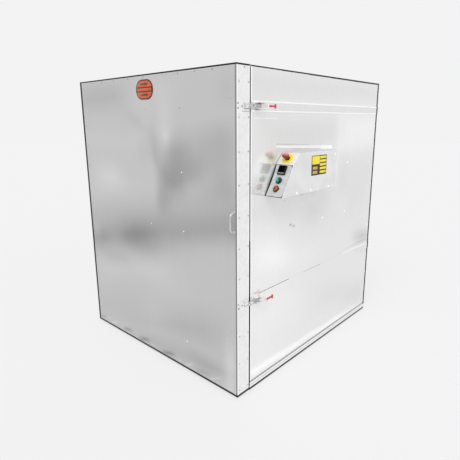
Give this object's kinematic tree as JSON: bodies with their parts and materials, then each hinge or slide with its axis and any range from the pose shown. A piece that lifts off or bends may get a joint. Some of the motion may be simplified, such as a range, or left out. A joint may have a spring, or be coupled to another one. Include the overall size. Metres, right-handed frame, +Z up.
{
  "type": "powder coating oven",
  "caption": "Insulated box oven of galvanised sheet with one side-hinged door, toggle latches, a pull handle and a sloping control console.",
  "frame": {"origin": "on the ground under the middle of the heated cabinet, on the underside of the centre base rail", "axes": "+Z up, -Y towards the door side, +X towards the wall with the console and latches"},
  "size_m": [1.479, 1.4835, 1.65],
  "materials": {
    "zinc_sheet": "hot-dip galvanised sheet, glossy",
    "door_sheet": "hot-dip galvanised sheet, satin",
    "edge_sheet": "galvanised strip, bright spangle",
    "chamber_sheet": "galvanised lining sheet",
    "mineral_wool": "pressed mineral wool board",
    "frame_tube": "galvanised square tube",
    "strap_bar": "galvanised flat bar",
    "seal_rope": "woven glass-fibre rope, dark",
    "console_paint": "light grey powder coat",
    "plate_paint": "light grey powder coat, satin",
    "latch_zinc": "zinc-plated pressed steel",
    "hinge_zinc": "zinc-plated steel",
    "handle_chrome": "bright plated rod",
    "grip_vinyl": "dipped red vinyl",
    "instrument_black": "moulded black plastic",
    "bezel_black": "moulded black plastic, gloss",
    "lens_amber": "amber lens",
    "knob_green": "green moulded knob",
    "stop_yellow": "yellow plate",
    "stop_grey": "dark grey collar",
    "stop_red": "red moulded button",
    "gland_black": "black nylon gland"
  },
  "bodies": {
    "cabinet": {"back_skin": "zinc_sheet", "back_wall": "mineral_wool", "base_rail_back": "frame_tube", "base_rail_centre": "frame_tube", "base_rail_front": "frame_tube", "base_rail_left": "frame_tube", "base_rail_right": "frame_tube", "cable_gland": "gland_black", "chamber_liner": "chamber_sheet", "console": "console_paint", "console_flange": "console_paint", "controller": "instrument_black", "cover_plate": "plate_paint", "door_seal": "seal_rope", "floor_panel": "mineral_wool", "hinge_body_lower": "hinge_zinc", "hinge_body_upper": "hinge_zinc", "latch_base_lower": "latch_zinc", "latch_base_upper": "latch_zinc", "left_skin": "zinc_sheet", "left_strap_lower": "strap_bar", "left_strap_upper": "strap_bar", "left_wall": "mineral_wool", "pilot_bezel": "bezel_black", "pilot_lens": "lens_amber", "right_skin": "zinc_sheet", "right_strap_lower": "strap_bar", "right_strap_upper": "strap_bar", "right_wall": "mineral_wool", "roof_panel": "mineral_wool", "roof_skin": "zinc_sheet", "selector_bezel": "bezel_black", "stop_collar": "stop_grey", "stop_plate": "stop_yellow"},
    "door": {"door_front_sheet": "door_sheet", "door_core": "mineral_wool", "door_liner": "chamber_sheet", "door_edge_strip": "edge_sheet", "pull_handle": "handle_chrome", "hinge_door_upper": "hinge_zinc", "keeper_upper": "latch_zinc", "hinge_door_lower": "hinge_zinc", "keeper_lower": "latch_zinc"},
    "upper_lever": {"latch_lever_upper": "latch_zinc", "latch_grip_upper": "grip_vinyl"},
    "upper_hook": {"latch_hook_upper": "latch_zinc"},
    "lower_lever": {"latch_lever_lower": "latch_zinc", "latch_grip_lower": "grip_vinyl"},
    "lower_hook": {"latch_hook_lower": "latch_zinc"},
    "stop_head": {"stop_button": "stop_red"},
    "selector": {"selector_knob": "knob_green"}
  },
  "joints": [
    {"name": "door_swing", "type": "hinge", "parent": "cabinet", "child": "door", "pos_m": [-0.689, -0.6795, 0.992], "axis": [0, 0, -1], "range_deg": [0, 170]},
    {"name": "upper_lever_turn", "type": "hinge", "parent": "cabinet", "child": "upper_lever", "pos_m": [0.693, -0.64, 1.471], "axis": [0, 0, -1], "range_deg": [0, 105]},
    {"name": "upper_hook_turn", "type": "hinge", "parent": "upper_lever", "child": "upper_hook", "pos_m": [0.693, -0.627, 1.471], "axis": [0, 0, 1], "range_deg": [0, 105]},
    {"name": "lower_lever_turn", "type": "hinge", "parent": "cabinet", "child": "lower_lever", "pos_m": [0.693, -0.64, 0.513], "axis": [0, 0, -1], "range_deg": [0, 105]},
    {"name": "lower_hook_turn", "type": "hinge", "parent": "lower_lever", "child": "lower_hook", "pos_m": [0.693, -0.627, 0.513], "axis": [0, 0, 1], "range_deg": [0, 105]},
    {"name": "stop_push", "type": "slide", "parent": "cabinet", "child": "stop_head", "axis": [0, 0.7071, -0.7071], "range_m": [0, 0.004]},
    {"name": "selector_turn", "type": "hinge", "parent": "cabinet", "child": "selector", "pos_m": [0.7275, -0.52119, 1.11747], "axis": [0, 0.8607, -0.509], "range_deg": [0, 60]}
  ],
  "couplings": [
    {"joint": "upper_hook_turn", "follows": "upper_lever_turn", "ratio": 1},
    {"joint": "lower_hook_turn", "follows": "lower_lever_turn", "ratio": 1}
  ]
}
